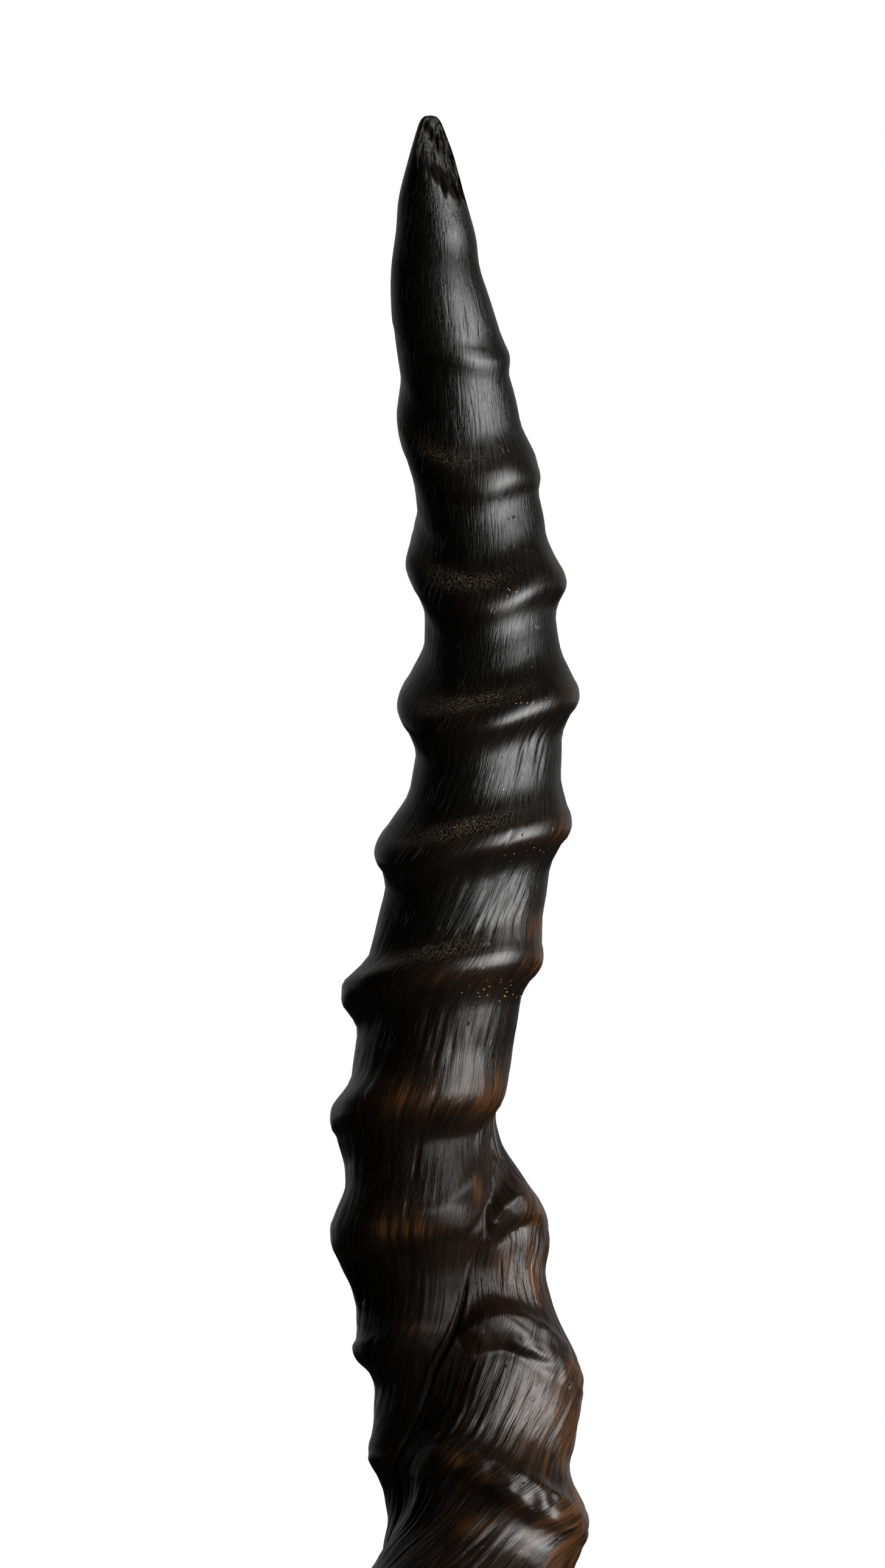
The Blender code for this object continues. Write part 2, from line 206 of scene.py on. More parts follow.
# Even rings below those: gap, swell and tilt at the foot and at the top one, the other values of a
# ring, the side where they are high, how far they wobble, and how the groove flattens them
EVEN_GAP = (0.0085, 0.018)
EVEN_SWELL = (0.0013, 0.0029)
EVEN_TILT = (0.0007, 0.0046)
EVEN_SIDES = ((0.58, 0.58), (0.34, 0.34), (0.0004, 0.0004), (0.4, 0.5), (0.0003, 0.0003))
HIGH_SIDE = np.radians(15)
WOBBLE = 0.00035
SEED = 7
GROOVE_FADE = 0.4
GROOVE_FADE_WIDTH = np.radians(50)

# Mesh: sides round the horn, rows above the first crest, between crests, between the crests that
# are rolled, and low down, the step in place from the foot's edge to the rim of the rod's hole and
# on to the hole's end, and how sharply the surface turns where it is drawn with an edge
SIDES = 244
TIP_ROWS = 38
GAP_ROWS = 18
FINE_ROWS = 32
FINE_RINGS = (7, 10)
LOW_ROWS = 6
HOLE_STEP = 0.5
SHARP_FROM = np.radians(75)


def smooth_curve(points, x):
    """Smooth curve through (height, value) points, which never overshoots them."""
    xs, ys = np.array(sorted(points)).T
    step = np.diff(xs)
    slope = np.diff(ys) / step
    product = slope[1:] * slope[:-1]
    total = np.where(product > 0, slope[1:] + slope[:-1], 1)
    bends = np.where(product > 0, 2 * product / total, 0)
    bends = np.concatenate([slope[:1], bends, slope[-1:]])
    x = np.clip(x, xs[0], xs[-1])
    i = np.clip(np.searchsorted(xs, x, side="right") - 1, 0, len(xs) - 2)
    s = (x - xs[i]) / step[i]
    rise = s * s * (3 - 2 * s)
    leave = s * (1 - s) ** 2 * step[i] * bends[i]
    arrive = s * s * (s - 1) * step[i] * bends[i + 1]
    return ys[i] + rise * (ys[i + 1] - ys[i]) + leave + arrive


def ease(x):
    """Soft step from 0 to 1 as x goes from 0 to 1."""
    x = np.clip(x, 0, 1)
    return x * x * (3 - 2 * x)


def bell(x):
    """1 at x = 0, falling away on both sides."""
    return np.exp(-x * x)


def facing(angle, turned, half_width):
    """1 in a direction, given in degrees round from +X, falling away on both sides of it."""
    return bell(half_turn(angle - np.radians(turned)) / np.radians(half_width))


def patch(angle, height, turned, half_width, high, half_height):
    """1 at the middle of a place on the horn, falling away round it and along it."""
    return facing(angle, turned, half_width) * bell((height - high) / half_height)


def between(pair, share):
    """Value a share of the way from the first of a pair to the second."""
    return pair[0] + (pair[1] - pair[0]) * share


def coil_angle(height):
    """Direction in which the twist carries the horn off its axis."""
    return 2 * np.pi * (height - TURN_START) / TURN_HEIGHT


def middle_line(height):
    """Where the middle of the horn is at a height."""
    coil = smooth_curve(COIL, height)
    out = coil_angle(height)
    return smooth_curve(LEAN, height) + coil * np.cos(out), coil * np.sin(out)


def half_turn(angle):
    """The same angle, between half a turn back and half a turn on."""
    return (angle + np.pi) % (2 * np.pi) - np.pi


def off_groove(angle, height):
    """Angle from the groove, which runs along the hollow side of the twist."""
    return half_turn(angle - coil_angle(height) - np.pi + GROOVE_LEAD)


def with_heights_behind(row):
    """Eight crest heights from five: the back of a crest rises where its front falls."""
    left, front_left, front, front_right, right = row
    middle = (left + right) / 2
    side = (right - left) * np.sqrt(0.125)
    back_right = 2 * (middle + side) - front_right
    back_left = 2 * (middle - side) - front_left
    back = 2 * middle - front
    return np.array([right, back_right, back, back_left, left, front_left, front, front_right])


def with_swells_behind(row):
    """Eight swells from five: the back is like the side it is nearest."""
    left, front_left, front, front_right, right = row
    return np.array([right, right, (left + right) / 2, left, left, front_left, front, front_right])


def all_rings():
    """Every ring from the tip down, with eight heights and eight swells each."""
    rings = [(with_heights_behind(heights), with_swells_behind(swells), *sides)
             for heights, swells, *sides in RINGS]
    chance = np.random.default_rng(SEED)
    compass = np.arange(8) * np.pi / 4
    top = np.mean(rings[-1][0])
    height = top - EVEN_GAP[1]
    while height > FOOT_HEIGHT + EVEN_GAP[0]:
        share = (height - FOOT_HEIGHT) / (top - FOOT_HEIGHT)
        off = off_groove(compass, height)
        tilt = between(EVEN_TILT, min(1, 2.5 * share))
        crest = height + tilt * np.cos(off - HIGH_SIDE) + chance.normal(0, WOBBLE, 8)
        swell = between(EVEN_SWELL, share) * (1 - GROOVE_FADE * bell(off / GROOVE_FADE_WIDTH))
        rings.append((crest, swell, *EVEN_SIDES))
        height -= between(EVEN_GAP, share)
    return rings


def row_places(ring_count):
    """Place of each row of the mesh: 0 at the tip, k at ring k's crest, one more at the foot."""
    places = list(np.linspace(0, 1, TIP_ROWS, endpoint=False) ** 1.5)
    for k in range(1, ring_count + 1):
        rows = GAP_ROWS if k <= len(RINGS) else LOW_ROWS
        if FINE_RINGS[0] <= k <= FINE_RINGS[1]:
            rows = FINE_ROWS
        shares = np.linspace(0, 1, rows, endpoint=False)
        places += list(k + shares - 0.5 * np.sin(2 * np.pi * shares) / (2 * np.pi))
    return np.array(places + [ring_count + 1])


def roll_tube(ring_count):
    """A closed tube of radius 1 whose depth is each row's place, with a narrow hole up its foot."""
    places = row_places(ring_count)
    last_row = len(places) - 1
    bm = bmesh.new()
    bmesh.ops.create_grid(bm, x_segments=SIDES, y_segments=last_row, size=0.5)
    for vert in bm.verts:
        turned = 2 * np.pi * (vert.co.x + 0.5)
        row = round((vert.co.y + 0.5) * last_row)
        vert.co = (np.cos(turned), np.sin(turned), -places[row])
    bmesh.ops.remove_doubles(bm, verts=bm.verts, dist=1e-5)
    tip = [vert for vert in bm.verts if vert.co.z > -1e-6]
    bmesh.ops.pointmerge(bm, verts=tip, merge_co=(0, 0, 0))
    rim = [edge for edge in bm.edges if edge.is_boundary]
    # The rim of the rod's hole, and then the hole's end
    for _ in range(2):
        grown = bmesh.ops.extrude_edge_only(bm, edges=rim)["geom"]
        rim = [item for item in grown if isinstance(item, bmesh.types.BMEdge) and item.is_boundary]
        rim_verts = [item for item in grown if isinstance(item, bmesh.types.BMVert)]
        bmesh.ops.translate(bm, verts=rim_verts, vec=(0, 0, -HOLE_STEP))
    bmesh.ops.holes_fill(bm, edges=rim)
    bmesh.ops.recalc_face_normals(bm, faces=bm.faces)
    mesh = bpy.data.meshes.new("horn_surface")
    bm.to_mesh(mesh)
    bm.free()
    mesh.shade_smooth()
    return mesh


# How far the fibres have turned round the horn by each height, in radians, how much more they
# turn at each crest and how near to it, how strongly they gather and follow the groove, from how
# near, and where round the horn from it that fades out, in radians
FIBRE_TURN = [(0.5206, 0.0), (0.48, -0.38), (0.44, -0.75), (0.40, -1.25), (0.38, -1.6), (0.36, -2.05),
              (0.345, -2.3), (0.325, -2.45), (0.31, -2.85), (0.295, -3.5), (0.28, -4.3), (0.05, -11.5)]
CREST_TURN = (0.06, 0.0035)
FIBRE_GATHER = [(0.5206, 0.0), (0.38, 0.0), (0.35, 0.7), (0.28, 0.8), (0.05, 0.3)]
GATHER_WIDTH = np.radians(35)
GATHER_FADE = (1.9, 1.2)

# A rope's half width, how far from its line a crest reaches, how far above and below its line
# the cuts are, how wide their edge is and how far they fade out, and the side where the upper
# cuts are deep, with the share of their depth that they have elsewhere
ROPE_WIDTH = 0.0021
CREST_REACH = 0.0032
CUT_REACH = (0.0027, 0.0028)
CUT_EDGE = 0.0012
CUT_FADE = 0.0026
UPPER_CUT_SIDE = (-118, 62)
UPPER_CUT_LEAST = 0.45

# Ledges under a crest: ring, depth, distance below it, degrees round, and half width in degrees
LEDGES = [(8, 0.0011, 0.0038, -138, 26), (9, 0.0004, 0.0017, -132, 18), (7, 0.0003, 0.0028, -55, 32)]

# Rolls beside the groove, and knobs on the left. Each has the share by which it is higher above
# its line and lower below it, and points from left to right: degrees round the horn, height, half
# width, rise, and how crisp its lower edge is, from a soft slope to an edge with a line under it.
# Then the share of its half width over which a soft one is full, and the line under a crisp one:
# its depth as a share of the rise, and its place and width as shares of the half width. Last, the
# rise from which up a roll is as smooth as a crest
ROLLS = [
    (0.0, [(-124, 0.3384, 0.0024, 0.0001, 0.4), (-95, 0.3390, 0.0030, 0.0003, 0.6),
           (-80, 0.3398, 0.0034, 0.0005, 0.8), (-65, 0.3423, 0.0032, 0.0007, 0.9),
           (-50, 0.3456, 0.0030, 0.0008, 0.9), (-40, 0.3492, 0.0028, 0.0007, 0.7),
           (-30, 0.3532, 0.0026, 0.0004, 0.5), (-22, 0.3560, 0.0020, 0.0001, 0.3)]),
    (0.15, [(-49, 0.3362, 0.0012, 0.0001, 1.0), (-43, 0.3382, 0.0022, 0.0010, 1.0),
            (-35, 0.3402, 0.0028, 0.0019, 1.0), (-25, 0.3416, 0.0030, 0.0019, 0.8),
            (-14, 0.3424, 0.0032, 0.0010, 0.4), (2, 0.3424, 0.0030, 0.0, 0.0)]),
    (0.45, [(-90, 0.3188, 0.0016, 0.0001, 1.0), (-79, 0.3203, 0.0026, 0.0014, 1.0),
            (-68, 0.3215, 0.0032, 0.0020, 1.0), (-58, 0.3219, 0.0036, 0.0021, 0.9),
            (-48, 0.3213, 0.0038, 0.0021, 0.6), (-38, 0.3199, 0.0038, 0.0014, 0.3),
            (-27, 0.3176, 0.0034, 0.0006, 0.0), (-14, 0.3156, 0.0030, 0.0, 0.0)]),
    (0.35, [(-126, 0.3004, 0.0018, 0.0001, 0.5), (-108, 0.3008, 0.0026, 0.0006, 0.5),
            (-96, 0.3004, 0.0030, 0.0009, 0.5), (-86, 0.2988, 0.0032, 0.0012, 0.5),
            (-70, 0.2960, 0.0034, 0.0015, 0.4), (-58, 0.2934, 0.0034, 0.0014, 0.2),
            (-40, 0.2912, 0.0032, 0.0007, 0.0), (-22, 0.2900, 0.0028, 0.0, 0.0)]),
    (0.0, [(-190, 0.3162, 0.0018, 0.0, 0.5), (-172, 0.3168, 0.0024, 0.0008, 0.8),
           (-156, 0.3173, 0.0024, 0.0008, 0.8), (-140, 0.3180, 0.0022, 0.0003, 0.5),
           (-120, 0.3186, 0.0020, 0.0, 0.5)]),
    (0.0, [(-192, 0.2980, 0.0018, 0.0, 0.5), (-176, 0.2986, 0.0022, 0.0007, 0.8),
           (-160, 0.2987, 0.0022, 0.0008, 0.8), (-146, 0.2994, 0.0018, 0.0, 0.5)]),
]
ROLL_BELLY = 0.6
ROLL_LINE = 0.3
ROLL_LINE_AT = (1.15, 0.2)
ROLL_FULL = 0.0008

# The crease that runs down the groove: (height, degrees off the groove) and (height, depth),
# and the lip on its left, as (height, rise)
CREASE = [(0.36, 12), (0.3542, 12), (0.3455, 6), (0.341, 4.5), (0.337, 7), (0.3277, 7.3), (0.3215, 6.6),
          (0.3186, 5), (0.3155, 1.2), (0.3118, -2.6), (0.3078, -4.5), (0.3045, -6.4), (0.2995, -5),
          (0.2958, -8), (0.28, -6), (0.05, 0)]
CREASE_DEPTH = [(0.5206, 0.0), (0.36, 0.0), (0.352, 0.0003), (0.34, 0.0003), (0.332, 0.0001), (0.328, 0.0009),
                (0.318, 0.0012), (0.312, 0.0006), (0.306, 0.0003), (0.302, 0.0011), (0.296, 0.0012),
                (0.288, 0.0005), (0.27, 0.0005), (0.05, 0.0001)]
CREASE_WIDTH = np.radians(1.8)
LIP = [(0.5206, 0.0), (0.334, 0.0), (0.330, 0.0005), (0.312, 0.0005), (0.308, 0.0), (0.05, 0.0)]
LIP_OFF = np.radians(-3)
LIP_WIDTH = np.radians(1.6)

# Places that stand out or lie in: degrees round, half width, height, half height and rise. The
# first two are a faint extra ring on the front, near the tip
PATCHES = [
    (-65, 75, 0.5005, 0.0045, 0.0004), (-65, 75, 0.4955, 0.0034, -0.0005),
    (0, 45, 0.4750, 0.0060, 0.0006), (0, 45, 0.4570, 0.0080, 0.0010), (0, 45, 0.4310, 0.0030, 0.0005),
    (0, 45, 0.4010, 0.0030, 0.0004), (0, 45, 0.3910, 0.0050, 0.0004), (0, 40, 0.3690, 0.0060, 0.0005),
    (0, 40, 0.3495, 0.0050, 0.0007), (0, 45, 0.3345, 0.0040, 0.0009), (-25, 25, 0.3310, 0.0050, 0.0006),
    (0, 45, 0.3055, 0.0050, 0.0001), (0, 45, 0.2955, 0.0040, -0.0008), (180, 45, 0.3500, 0.0040, 0.0006),
    (180, 45, 0.3310, 0.0060, 0.0009), (0, 60, 0.5145, 0.0095, 0.0006),
    (180, 60, 0.5165, 0.0070, -0.0004), (180, 60, 0.5065, 0.0050, 0.0004),
    (180, 60, 0.5005, 0.0050, -0.0003), (-65, 60, 0.4836, 0.0020, -0.0005),
    (180, 40, 0.3195, 0.0025, -0.0006), (0, 60, 0.5120, 0.0040, 0.0003),
    (180, 45, 0.3115, 0.0030, -0.0007), (180, 40, 0.4510, 0.0030, -0.0008),
    (180, 40, 0.3760, 0.0020, -0.0007), (-48, 24, 0.3490, 0.0090, 0.0008),
    (-60, 26, 0.3530, 0.0040, -0.0016), (-60, 24, 0.3450, 0.0034, 0.0010),
    (-108, 22, 0.3330, 0.0040, -0.0004), (0, 40, 0.4630, 0.0025, -0.0008),
    (0, 40, 0.3120, 0.0040, 0.0003), (0, 40, 0.2890, 0.0025, -0.0006),
]

# Strands along the fibres: width, length, and relief near the tip and low down, with the height
# where the change starts and its length. Their noise is divided by its mean, and by how much
# wider than a strand one of its waves is. They are stronger right of the groove, at an angle from
# it, and weaker on crests
STRANDS = [(0.0018, 0.022, (0.0, 0.00005)), (0.0009, 0.012, (0.0, 0.00006))]
STRANDS_GROW = (0.44, 0.11)
STRAND_MEAN = 0.25
STRAND_WAVE = 1.6
STRANDS_BY_GROOVE = 0.5
STRANDS_BY_GROOVE_ANGLE = 0.5
STRANDS_OFF_CREST = 0.85

# Lumps: size and relief, first everywhere, fading out in the last of the tip, and then on the low
# crests, which look hammered below a height. Such changes come in softly over a short length
LUMPS = (0.007, 0.00022)
TIP_FADE = 0.02
CREST_LUMPS = (0.0022, 0.0005)
HAMMERED_BELOW = 0.325
SOFT_START = 0.01

# Patches with stronger strands: degrees round from +X, half width, height, half height, and how
# many times their usual relief is added
STRAND_PATCHES = [
    (-22, 26, 0.3305, 0.0055, 3.0), (-35, 34, 0.3050, 0.0070, 2.0), (-60, 16, 0.3300, 0.0070, 1.2),
    (-20, 16, 0.3475, 0.0060, 1.5), (-120, 30, 0.2900, 0.0080, 1.0),
]

# The chip at the tip: its direction from +X, how far out it leaves the horn at each height, how
# far down it reaches, its slant across and where that starts, how round its edge is, and the
# depth, grain and stretch of its tear, which also makes its lower end ragged
CHIP_TURN = np.radians(-60)
CHIP_REACH = [(0.5206, 0.0010), (0.5180, 0.0012), (0.5150, 0.0012), (0.5134, 0.0015), (0.5116, 0.0023),
              (0.5100, 0.0036), (0.5088, 0.0050), (0.5076, 0.0068), (0.05, 0.03)]
CHIP_LOWEST = 0.503
CHIP_SLANT = 0.6
CHIP_SLANT_FROM = (0.517, 0.006)
CHIP_ROUND = 0.00035
CHIP_EDGE = 0.0003
CHIP_TEAR = 0.0015
CHIP_TEAR_SIZE = 0.0011
CHIP_TEAR_STRETCH = 2.5
CHIP_RAGGED = 0.0012

# Slits, pits and cracks along the fibres: degrees round the horn from +X, height, half length,
# half width and depth. The nearest point to one is found with a radius a little under the mean
DENT_RADIUS = 0.013
DENTS = [
    (-150, 0.2962, 0.0036, 0.0005, 0.0007), (-141, 0.2986, 0.0030, 0.0005, 0.0006),
    (-134, 0.2922, 0.0040, 0.0005, 0.0006), (-126, 0.2965, 0.0028, 0.0004, 0.0004),
    (-158, 0.3282, 0.0032, 0.0006, 0.0009), (-150, 0.3262, 0.0022, 0.0004, 0.0005),
    (-74, 0.3930, 0.0022, 0.0004, 0.0003), (-68, 0.3950, 0.0020, 0.0004, 0.0003),
    (-63, 0.3915, 0.0024, 0.0004, 0.0003), (-57, 0.3938, 0.0022, 0.0004, 0.0003),
    (-52, 0.3900, 0.0020, 0.0004, 0.0003), (-46, 0.3925, 0.0024, 0.0004, 0.0003),
    (-60, 0.3880, 0.0018, 0.0004, 0.0003), (-71, 0.3888, 0.0018, 0.0004, 0.0003),
    (-43, 0.3885, 0.0022, 0.0004, 0.0003), (-72, 0.4180, 0.0018, 0.0004, 0.0003),
    (-62, 0.4165, 0.0022, 0.0004, 0.0003), (-55, 0.4186, 0.0018, 0.0004, 0.0003),
    (-48, 0.4160, 0.0022, 0.0004, 0.0003), (-42, 0.4140, 0.0020, 0.0004, 0.0003),
    (-66, 0.4132, 0.0018, 0.0004, 0.0003), (-50, 0.3698, 0.0020, 0.0004, 0.0003),
    (-58, 0.3680, 0.0022, 0.0004, 0.0003), (-64, 0.3712, 0.0018, 0.0004, 0.0003),
    (-66.5, 0.4868, 0.0024, 0.00030, 0.00025), (-97, 0.3708, 0.0020, 0.0004, 0.00025),
    (-91, 0.3694, 0.0016, 0.0004, 0.0003), (-86, 0.3712, 0.0018, 0.0004, 0.00025),
    (-77, 0.3681, 0.0018, 0.0005, 0.0003), (-87, 0.3662, 0.0015, 0.0004, 0.0003),
    (-71, 0.3699, 0.0020, 0.0003, 0.0002), (-87, 0.3578, 0.0022, 0.0003, 0.0006),
    (-151, 0.3306, 0.0030, 0.0006, 0.0009), (-157, 0.3268, 0.0006, 0.0006, 0.0013),
    (-151, 0.3174, 0.0016, 0.0006, 0.0011), (-86, 0.3948, 0.0020, 0.0004, 0.0002),
    (-70, 0.4015, 0.0015, 0.0004, 0.0002), (-62, 0.3920, 0.0022, 0.0003, 0.0002),
    (-104, 0.3410, 0.0018, 0.0003, 0.0003), (-112, 0.3480, 0.0022, 0.0003, 0.0003),
    (-96, 0.3485, 0.0018, 0.0003, 0.0003),
]


def round_the_horn(table, ring, angle):
    """Value of a ring's table at an angle, on a closed curve through eight values from +X round."""
    place = (angle % (2 * np.pi)) / (np.pi / 4)
    i = np.floor(place).astype(int)
    s = place - i
    before, here, after, beyond = (table[ring, (i + k) % 8] for k in (-1, 0, 1, 2))
    first = after - before
    second = 2 * before - 5 * here + 4 * after - beyond
    third = 3 * (here - after) + beyond - before
    return here + 0.5 * s * (first + s * (second + s * third))


def crest_height(ring, angle):
    """Height of a ring's crest at an angle, with its bends."""
    height = round_the_horn(crest_table, ring, angle)
    for bent_ring, rise, turned, half_width in BENDS:
        height = height + np.where(ring == bent_ring, rise * facing(angle, turned, half_width), 0)
    return height


def fibre_turn(above, over, under, height):
    """How far a fibre has turned round the horn on its way down to a point."""
    turn, width = CREST_TURN
    at_crests = np.tanh(over / width) - np.tanh(under / width) + 1 - 2 * above
    return smooth_curve(FIBRE_TURN, height) + turn * at_crests


def gathered(off, height):
    """How far the groove draws a fibre round the horn, and how fast that changes round it."""
    pull = smooth_curve(FIBRE_GATHER, height)
    reach = np.tanh(off / GATHER_WIDTH)
    fade = 1 - ease((np.abs(off) - GATHER_FADE[0]) / GATHER_FADE[1])
    return pull * GATHER_WIDTH * reach * fade, pull * (1 - reach ** 2) * fade


def cut(distance, reach):
    """A step down at the edge of a rope, which fades out beyond it."""
    return ease((distance - reach) / CUT_EDGE + 0.5) * np.exp(-np.maximum(distance - reach, 0) / CUT_FADE)


def roll_rise(tilt, points, angle, height):
    """How far a roll through points stands out: soft above its line, as crisp as they say below."""
    found, nearest = np.zeros(len(angle)), np.full(len(angle), np.inf)
    for start, end in zip(points, points[1:]):
        run, climb = MEAN_RADIUS * np.radians(end[0] - start[0]), end[1] - start[1]
        away, up = MEAN_RADIUS * half_turn(angle - np.radians(start[0])), height - start[1]
        share = np.clip((away * run + up * climb) / (run ** 2 + climb ** 2), 0, 1)
        away, up = away - share * run, up - share * climb
        distance = np.hypot(away, up) / between((start[2], end[2]), share)
        side = np.sign(away * climb - up * run)
        crisp = between((start[4], end[4]), share) * (side > 0)
        line = ROLL_LINE * bell((distance - ROLL_LINE_AT[0]) / ROLL_LINE_AT[1])
        undercut = np.sqrt(np.maximum(1 - distance ** 2, 0)) - line
        soft = bell(np.maximum(distance - ROLL_BELLY, 0) / (1 - ROLL_BELLY))
        shape = (crisp * undercut + (1 - crisp) * soft) * (1 - tilt * side * np.minimum(distance, 1))
        found = np.where(distance < nearest, between((start[3], end[3]), share) * shape, found)
        nearest = np.minimum(nearest, distance)
    return found


def strand_noise(fibre, height, width, length):
    """Uneven strands along the fibres, from 0 in the cracks between them upwards."""
    reach = MEAN_RADIUS / width / STRAND_WAVE
    rows = zip(reach * np.cos(fibre), reach * np.sin(fibre), height / length)
    return np.array([abs(noise.noise(Vector(row))) for row in rows])


def lump_noise(x, y, z, size):
    """Soft lumps of a size, about 0."""
    return np.array([noise.noise(Vector(row)) for row in zip(x / size, y / size, z / size)])


rings = all_rings()
lowest = len(rings)
surface = roll_tube(lowest)
count = len(surface.vertices)
tube = np.empty(3 * count)
surface.vertices.foreach_get("co", tube)
tube = tube.reshape(-1, 3)
fibre = np.arctan2(tube[:, 1], tube[:, 0])
place = -tube[:, 2]
on_side = place < lowest + 1 + HOLE_STEP / 2

# Tables with a row for the tip, one for each ring and one for the foot
crest_table = np.array([np.full(8, TIP_HEIGHT), *[ring[0] for ring in rings], np.full(8, FOOT_HEIGHT)])
swell_table = np.array([np.zeros(8), *[ring[1] for ring in rings], np.zeros(8)])
shoulders, falls, ropes, browns, cuts = (
    np.array([ends, *[ring[k] for ring in rings], ends])
    for k, ends in ((2, (0.5, 0.5)), (3, (1, 1)), (4, (0, 0)), (5, (0.3, 0.3)), (6, (0, 0))))

# Each point lies between the crest above it and the crest below it, on a fibre that turns round
# the horn as it climbs. Height and angle depend on each other, and a few steps settle them
above = np.minimum(place.astype(int), lowest)
below = above + 1
share = np.clip(place - above, 0, 1)
angle = fibre.copy()
for _ in range(8):
    top, bottom = crest_height(above, angle), crest_height(below, angle)
    height = between((top, bottom), share)
    over, under = height - bottom, top - height
    off = off_groove(angle, height)
    pull, pull_slope = gathered(off, height)
    miss = half_turn(angle - fibre_turn(above, over, under, height) + pull - fibre)
    angle = angle - miss / (1 + pull_slope)

# The form: swells round each crest, a slimmer outside to the coil, and the groove
to_right = 0.5 + 0.5 * np.cos(angle)
fallen = ease((share / between(falls[above].T, to_right) - FALL_START) / (1 - FALL_START))
shoulder = between(shoulders[below].T, to_right)
risen = ease((share - shoulder) / (SHOULDER_END - shoulder))
plain_radius = smooth_curve(RADIUS, height)
radius = plain_radius * (1 - smooth_curve(SLIMNESS, height) * np.cos(2 * (angle - coil_angle(height))))
radius += round_the_horn(swell_table, above, angle) * (1 - fallen)
radius += round_the_horn(swell_table, below, angle) * risen
from_groove = off - np.radians(smooth_curve(GROOVE_SHIFT, height))
groove_side = np.where(from_groove > 0, np.radians(smooth_curve(GROOVE_RIGHT, height)), GROOVE_LEFT)
groove = bell(from_groove / groove_side)
radius -= smooth_curve(GROOVE, height) * groove

# The relief: ropes, cuts and ledges along the crests, and the crease down the groove
near_crest = np.maximum(bell(under / CREST_REACH) * (above > 0), bell(over / CREST_REACH) * (below <= lowest))
radius += between(ropes[above].T, to_right) * bell(under / ROPE_WIDTH)
radius += between(ropes[below].T, to_right) * bell(over / ROPE_WIDTH)
upper_side = between((UPPER_CUT_LEAST, 1), facing(angle, *UPPER_CUT_SIDE))
radius -= cuts[below, 0] * upper_side * cut(over, CUT_REACH[0])
radius -= cuts[above, 1] * cut(under, CUT_REACH[1])
for ring, depth, reach, turned, half_width in LEDGES:
    radius -= depth * cut(under, reach) * facing(angle, turned, half_width) * (above == ring)
rolled = np.zeros(count)
for tilt, points in ROLLS:
    rise = roll_rise(tilt, points, angle, height)
    radius += rise
    rolled = np.maximum(rolled, np.clip(rise / ROLL_FULL, 0, 1))
off_crease = off - np.radians(smooth_curve(CREASE, height))
radius -= smooth_curve(CREASE_DEPTH, height) * bell(off_crease / CREASE_WIDTH)
radius += smooth_curve(LIP, height) * bell((off_crease - LIP_OFF) / LIP_WIDTH)
for *where, rise in PATCHES:
    radius += rise * patch(angle, height, *where)

# Finer relief: lumps, strands, and the dents
middle_x, middle_y = middle_line(height)
x = middle_x + radius * np.cos(angle)
y = middle_y + radius * np.sin(angle)
slim_tip = ease((TIP_HEIGHT - height) / TIP_FADE)
lowness = ease((STRANDS_GROW[0] - height) / STRANDS_GROW[1])
near_crest = np.maximum(near_crest, rolled)
hammered = near_crest * to_right * ease((HAMMERED_BELOW - height) / SOFT_START)
radius += slim_tip * LUMPS[1] * lump_noise(x, y, height, LUMPS[0])
radius += CREST_LUMPS[1] * hammered * lump_noise(x, y, height, CREST_LUMPS[0])
stranded = 1 + STRANDS_BY_GROOVE * bell((off - STRANDS_BY_GROOVE_ANGLE) / STRANDS_BY_GROOVE_ANGLE)
for *where, times in STRAND_PATCHES:
    stranded += times * patch(angle, height, *where)
stranded *= (1 - STRANDS_OFF_CREST * near_crest) * slim_tip
for width, length, reliefs in STRANDS:
    uneven = strand_noise(fibre, height, width, length) / STRAND_MEAN - 1
    radius += between(reliefs, lowness) * stranded * uneven
for turned, high, half_length, half_width, depth in DENTS:
    turned = np.radians(turned)
    nearest = np.argmin(half_turn(angle - turned) ** 2 + ((height - high) / DENT_RADIUS) ** 2)
    across = half_turn(fibre - fibre[nearest]) * plain_radius
    dent = bell(across / half_width) * bell((height - high) / half_length)
    radius -= depth * dent * (np.cos(angle - turned) > 0)
x = middle_x + radius * np.cos(angle)
y = middle_y + radius * np.sin(angle)

# The chip: whatever stands out past it is pressed back to it, and torn a little
chip_x, chip_y = np.cos(CHIP_TURN), np.sin(CHIP_TURN)
outward = (x - middle_x) * chip_x + (y - middle_y) * chip_y
sideways = (y - middle_y) * chip_x - (x - middle_x) * chip_y
near_chip = (height > CHIP_LOWEST) & on_side
tear = np.zeros(count)
tear[near_chip] = lump_noise(
    x[near_chip], y[near_chip], height[near_chip] / CHIP_TEAR_STRETCH, CHIP_TEAR_SIZE)
slant = ease((CHIP_SLANT_FROM[0] - height) / CHIP_SLANT_FROM[1])
slanted = height + slant * (CHIP_SLANT * sideways + CHIP_RAGGED * tear)
past = outward - smooth_curve(CHIP_REACH, slanted)
past = np.where(near_chip, past + CHIP_TEAR * np.abs(tear) * ease(past / CHIP_EDGE), 0)
pressed = np.where(near_chip, (past + np.hypot(past, 2 * CHIP_ROUND)) / 2, 0)
x -= pressed * chip_x
y -= pressed * chip_y
chip = ease(past / CHIP_EDGE)

# The foot: flat round the rod's hole, and the hole's wall and end
points = np.stack([x, y, height], axis=1)
in_hole = ~on_side
points[in_hole, 0] = HOLE_RADIUS * np.cos(angle[in_hole])
points[in_hole, 1] = HOLE_RADIUS * np.sin(angle[in_hole])
points[in_hole, 2] = np.where(place[in_hole] > lowest + 1 + 1.5 * HOLE_STEP, HOLE_TOP, FOOT_HEIGHT)
surface.vertices.foreach_set("co", points.ravel())
surface.update()
surface.set_sharp_from_angle(angle=SHARP_FROM)

